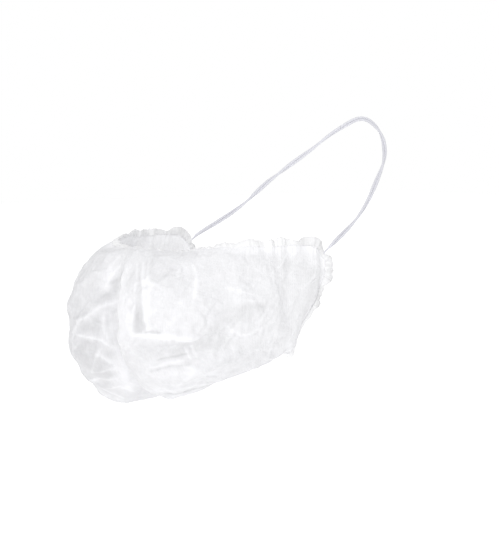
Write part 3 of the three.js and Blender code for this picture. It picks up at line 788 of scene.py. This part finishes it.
class BEARDNET_OT_pouch(bpy.types.Operator):
    """Makes the nonwoven pouch, crumpled by a cloth simulation and creased from its packet"""

    bl_idname = "beardnet.pouch"
    bl_label = "Pouch"

    def execute(self, context):
        sizes, colours = context.scene.beardnet_sizes, context.scene.beardnet_colours
        points, place, scale = crumpled_pouch(sizes, FINER)
        share = np.linspace(0, 1, len(points))[:, None]
        coarse, _, _ = crumpled_pouch(sizes, 1)
        shift = simulate(coarse)
        shift = spread(shift, points.shape[0])
        shift = np.swapaxes(spread(np.swapaxes(shift, 0, 1), points.shape[1]), 0, 1)
        from_rim, from_hem = cloth_lengths(points)
        calm = np.minimum(1, np.minimum(from_rim, from_hem) / WRINKLE_INSET)
        calm = calm * np.minimum(1, np.minimum(share, 1 - share) / WRINKLE_END)
        points = points + shift * calm[..., None]
        from_rim, from_hem = cloth_lengths(points)
        edge = np.minimum(from_rim, from_hem)
        strays = ridges(place, scale, stray_creases(STRAYS, STRAY_SEED), crisp=True)
        height = strays + ridges(place, scale, CREASES[:, :6], crisp=True)
        height *= np.minimum(1, edge / CREASE_INSET)
        pleated = np.clip(1 - edge / PLEAT_REACH, 0, 1) ** 1.5 * np.sqrt(section("ruffle", place[..., 0]))
        height += PLEAT_HEIGHT * pleated * waves(share, **PLEATS)
        points = points + grid_normals(points) * height[..., None]
        uv = place * scale
        obj = grid_object("net_pouch", points, uv)
        # The cloth's layers together with its painted light and shade, which its material reads.
        white = obj.data.attributes.new("layers_and_painted_light", "FLOAT", "POINT")
        white.data.foreach_set("value", layers_and_painted_light(place, scale, strays, edge).astype(np.float32).ravel())
        cloth = spunbonded_polypropylene(
            "spunbonded_polypropylene", colours.cloth, see_through=0.2, passed=0.3, bump=0.5
        )
        finish_piece(obj, cloth, "pouch")
        obj["columns"] = points.shape[0]
        return {"FINISHED"}


def pouch_points():
    """The finished pouch's grid of points."""
    obj = bpy.data.objects["net_pouch"]
    found = np.empty(len(obj.data.vertices) * 3)
    obj.data.vertices.foreach_get("co", found)
    return found.reshape(obj["columns"], -1, 3)


def edge_frames(points, inner=6, smoothing=5):
    """Places round the pouch's edge, with directions along it, out of the cloth and through the cloth."""
    rim = [(points[i, 0], points[i, inner]) for i in range(0, len(points) - 1)]
    left = [(points[-1, j], points[-1 - inner, j]) for j in range(0, points.shape[1] - 1)]
    hem = [(points[i, -1], points[i, -1 - inner]) for i in range(len(points) - 1, 0, -1)]
    right = [(points[0, j], points[inner, j]) for j in range(points.shape[1] - 1, 0, -1)]
    loop = np.array(rim + left + hem + right)
    place = loop[:, 0]
    steps = range(-smoothing, smoothing + 1)
    smooth = lambda values: sum(np.roll(values, k, axis=0) for k in steps) / len(steps)
    unit = lambda values: values / np.linalg.norm(values, axis=-1, keepdims=True)
    along = unit(smooth(np.roll(place, -1, axis=0) - np.roll(place, 1, axis=0)))
    outward = smooth(unit(place - loop[:, 1]))
    outward = unit(outward - along * (outward * along).sum(-1, keepdims=True))
    return place, along, outward, np.cross(along, outward)


class BEARDNET_OT_hem(bpy.types.Operator):
    """Makes the folded, sewn and gathered hem round the pouch's whole edge"""

    bl_idname = "beardnet.hem"
    bl_label = "Hem"

    def execute(self, context):
        sizes, colours = context.scene.beardnet_sizes, context.scene.beardnet_colours
        grid = pouch_points()
        place, along, outward, through = edge_frames(grid)
        step = np.linalg.norm(np.roll(place, -1, axis=0) - place, axis=-1)
        run = np.concatenate([[0], np.cumsum(step)])[:-1] / step.sum()
        crowded, puff = end_puffs(run, run[len(grid) - 1] * step.sum(), step.sum())
        crowded, puff = crowded[:, None], puff[:, None]
        ring = np.linspace(0, 2 * np.pi, HEM_SIDES + 1)
        across = 0.5 - 0.5 * np.cos(ring)
        thick = np.sign(np.sin(ring)) * np.abs(np.sin(ring)) ** HEM_FULLNESS
        pleats = lambda start, count: waves(run + start, **{**PLEATS, "count": count})[:, None]
        gathers = pleats(0, HEM_GATHERS)
        scallop = sum(pleats(*row) for row in HEM_SCALLOPS) / len(HEM_SCALLOPS)
        plain_width = 1 + HEM_SCALLOP * scallop * across
        end_width = HEM_NOTCH + HEM_PUFF_WIDTH * puff
        width = sizes.hem_width * ((1 - crowded) * plain_width + crowded * end_width)
        body = sizes.hem_thickness * HEM_HALF_THICKNESS * thick
        body = body * (1 + HEM_SWELL * gathers * across) * (1 + HEM_PUFF_HEIGHT * crowded * puff)
        sway = HEM_SWAY[0] * gathers * np.sin(np.pi * across) + HEM_SWAY[1] * scallop * across
        sway = sway * (1 - HEM_END_STILLNESS * crowded)
        points = (
            place[:, None]
            + outward[:, None] * (width * across - HEM_SEAM_DEPTH)[..., None]
            + through[:, None] * (body + sway)[..., None]
        )
        points = np.concatenate([points, points[:1]])
        around = np.broadcast_to(np.linspace(0, HEM_GIRTH, HEM_SIDES + 1), points.shape[:2])
        length_along = np.broadcast_to(np.append(run, 1.0)[:, None] * step.sum(), points.shape[:2])
        obj = grid_object("net_hem", points[:, ::-1], np.stack([length_along, around], -1))
        weld = obj.modifiers.new("weld", "WELD")
        weld.merge_threshold = 1e-6
        white = obj.data.attributes.new("layers_and_painted_light", "FLOAT", "POINT")
        # At its two ends the hem is gathered so tightly that it shades itself.
        # Their shade is painted into the hem's whiteness, beside its doubled cloth.
        hem_layers_and_shade = HEM_WHITENESS + HEM_GATHER_WHITENESS * gathers - HEM_END_SHADE * crowded
        hem_layers_and_shade = np.broadcast_to(np.concatenate([hem_layers_and_shade, hem_layers_and_shade[:1]]), points.shape[:2])
        white.data.foreach_set("value", hem_layers_and_shade.astype(np.float32).ravel())
        hem = spunbonded_polypropylene(
            "doubled_spunbonded_hem", colours.hem, see_through=0.03, passed=0.12, bump=0.5
        )
        finish_piece(obj, hem, "rim_hem")
        # The cloth is cut as a long oval, 440 mm by 170 mm inside its hem, and gathered to the worn shape.
        return {"FINISHED"}


def smooth_route(knots, count):
    """Points on a curve through knots that neither overshoots nor kinks where they are unevenly spaced."""
    knots = np.vstack([2 * knots[0] - knots[1], knots, 2 * knots[-1] - knots[-2]])
    gaps = np.sqrt(np.linalg.norm(np.diff(knots, axis=0), axis=1))
    place = np.linspace(0, len(knots) - 3, count)
    cell = np.minimum(place.astype(int), len(knots) - 4)
    t = (place - cell)[:, None]
    a, b, c, d = (knots[cell + k] for k in range(4))
    before, here, after = (gaps[cell + k][:, None] for k in range(3))
    leave = (b - a) / before - (c - a) / (before + here) + (c - b) / here
    arrive = (c - b) / here - (d - b) / (here + after) + (d - c) / after
    return (
        (2 * t**3 - 3 * t**2 + 1) * b + (t**3 - 2 * t**2 + t) * here * leave
        + (3 * t**2 - 2 * t**3) * c + (t**3 - t**2) * here * arrive
    )


class BEARDNET_OT_elastic(bpy.types.Operator):
    """Makes the elastic, two loosely twisted strands from one end of the hem round to the other"""

    bl_idname = "beardnet.elastic"
    bl_label = "Elastic"

    def execute(self, context):
        sizes, colours = context.scene.beardnet_sizes, context.scene.beardnet_colours
        points = pouch_points()
        place, _, outward, _ = edge_frames(points)
        reach = Vector((sizes.cheek_half_width, sizes.back_reach, sizes.back_rise))
        ends = []
        for corner, step in ((len(points) - 1, -1), (0, 1)):
            index = corner
            while np.linalg.norm(place[index] - place[corner]) < ELASTIC_CORNER:
                index += step
            way = outward[index]
            start = place[index] + way * (sizes.hem_width + ELASTIC_GAP) + (0, 0, ELASTIC_LIFT)
            ends.append([start - way * ELASTIC_INSIDE, start, start + way * ELASTIC_LEAD])
        left = ELASTIC_ROUTE * np.array(reach)
        right = left[::-1] * np.array((-1, 1, 1))
        middle = np.array([(0, sizes.back_reach, sizes.back_rise)])
        knots = np.vstack([ends[0], left, middle, right, ends[1][::-1]])
        route = smooth_route(knots, ROUTE_STEPS)
        run = np.concatenate([[0], np.cumsum(np.linalg.norm(np.diff(route, axis=0), axis=1))])
        even = np.linspace(0, run[-1], ELASTIC_RINGS)
        centre = np.stack([np.interp(even, run, route[:, k]) for k in range(3)], -1)
        forward = np.gradient(centre, axis=0)
        forward /= np.linalg.norm(forward, axis=-1, keepdims=True)
        side = np.cross(forward, STEADY)
        side /= np.linalg.norm(side, axis=-1, keepdims=True)
        rise = np.cross(side, forward)
        radius = sizes.elastic_strand / 2
        ring = np.linspace(0, 2 * np.pi, ELASTIC_SIDES + 1)
        from_end = np.minimum(even, even[-1] - even)
        turned = 2 * np.pi * even
        twist = turned / TWIST + TWIST_WANDER[0] * np.sin(turned / TWIST_WANDER[1])
        yarn = (turned / BRAID[1])[:, None]
        braid = 1 + BRAID[0] * np.cos(3 * ring + yarn) * np.cos(3 * ring - yarn)
        narrow = np.clip(from_end / STRAND_TAPER[0], STRAND_TAPER[1], 1)[:, None]
        section_ring = side[:, None] * np.cos(ring)[:, None] + rise[:, None] * np.sin(ring)[:, None]
        strands = []
        for half in (0, np.pi):
            gap = radius * (STRAND_GAP[0] + STRAND_GAP[1] * np.sin(turned / STRAND_GAP[2] + half))
            gap = (gap * np.clip(from_end / GAP_TAPER[0], GAP_TAPER[1], 1))[:, None]
            apart = side * np.cos(twist + half)[:, None] + rise * np.sin(twist + half)[:, None]
            heart = centre + apart * gap
            fuzz = 1 + FUZZ[0] * np.sin(turned[:, None] / FUZZ[1] + half)
            strands.append(heart[:, None] + (radius * braid * fuzz * narrow)[..., None] * section_ring)
        parts = []
        for number, strand in enumerate(strands):
            uv = np.stack(np.meshgrid(even, ring * radius, indexing="ij"), -1)
            parts.append(grid_object(f"elastic_strand_{number}", strand, uv))
        with context.temp_override(active_object=parts[0], selected_editable_objects=parts):
            bpy.ops.object.join()
        obj = parts[0]
        obj.name = "net_elastic"
        weld = obj.modifiers.new("weld", "WELD")
        weld.merge_threshold = 1e-6
        finish_piece(obj, covered_elastic(colours.elastic), "head_elastic")
        return {"FINISHED"}


def soft_light(name, place, target, size, power):
    """A square soft box that points at a target."""
    data = bpy.data.lights.new(name, "AREA")
    data.shape = "SQUARE"
    data.size = size
    data.energy = power
    light = bpy.data.objects.new(name, data)
    bpy.context.scene.collection.objects.link(light)
    light.location = place
    light.rotation_euler = (Vector(target) - Vector(place)).to_track_quat("-Z", "Y").to_euler()


class BEARDNET_OT_stage(bpy.types.Operator):
    """Lays the pale floor and sets up the soft studio light"""

    bl_idname = "beardnet.stage"
    bl_label = "Stage"

    def execute(self, context):
        colours = context.scene.beardnet_colours
        corner = np.linspace(-FLOOR_HALF, FLOOR_HALF, 9)
        x, y = np.meshgrid(corner, corner, indexing="ij")
        floor = grid_object("floor", np.stack([x, y, np.full_like(x, FLOOR_HEIGHT)], -1)[::-1])
        floor.data.materials.append(lit_acrylic(colours.floor))
        right, up, back = view_axes(CAMERA_ANGLES[0], 0)
        place = back * KEY_PLACE[2] + right * KEY_PLACE[0] + up * KEY_PLACE[1]
        soft_light("key", place, target=(0, -0.06, -0.04), size=0.9, power=19)
        world = bpy.data.worlds.new("studio")
        world.use_nodes = True
        tree = world.node_tree
        tree.nodes.clear()
        # The walls of the studio look white and light the net a little less than they look.
        strength = dimmer_as_light(tree, 0.69, 1.0)
        sky = add_node(tree, "ShaderNodeBackground", Color=(1, 1, 1, 1), Strength=strength).outputs[0]
        add_node(tree, "ShaderNodeOutputWorld", Surface=sky)
        context.scene.world = world
        context.scene.view_settings.view_transform = "Standard"
        return {"FINISHED"}


class BEARDNET_PT_panel(bpy.types.Panel):
    """Lists the pieces of the beard net"""

    bl_idname = "BEARDNET_PT_panel"
    bl_label = "Beard Net"
    bl_space_type = "VIEW_3D"
    bl_region_type = "UI"
    bl_category = "Beard Net"

    def draw(self, context):
        for operator in OPERATORS:
            self.layout.operator(operator.bl_idname)
        for group in (context.scene.beardnet_sizes, context.scene.beardnet_colours):
            for name in group.__annotations__:
                self.layout.prop(group, name)


OPERATORS = (BEARDNET_OT_camera, BEARDNET_OT_pouch, BEARDNET_OT_hem, BEARDNET_OT_elastic, BEARDNET_OT_stage)
CLASSES = (BeardNetSizes, BeardNetColours, *OPERATORS, BEARDNET_PT_panel)


def register():
    """Adds the classes and the scene's properties."""
    for cls in CLASSES:
        bpy.utils.register_class(cls)
    bpy.types.Scene.beardnet_sizes = bpy.props.PointerProperty(type=BeardNetSizes)
    bpy.types.Scene.beardnet_colours = bpy.props.PointerProperty(type=BeardNetColours)


def unregister():
    """Takes away what register added."""
    del bpy.types.Scene.beardnet_colours
    del bpy.types.Scene.beardnet_sizes
    for cls in reversed(CLASSES):
        bpy.utils.unregister_class(cls)


def main():
    """Builds everything in order."""
    register()
    bpy.ops.beardnet.camera()
    bpy.ops.beardnet.pouch()
    bpy.ops.beardnet.hem()
    bpy.ops.beardnet.elastic()
    bpy.ops.beardnet.stage()


if __name__ == "__main__":
    main()
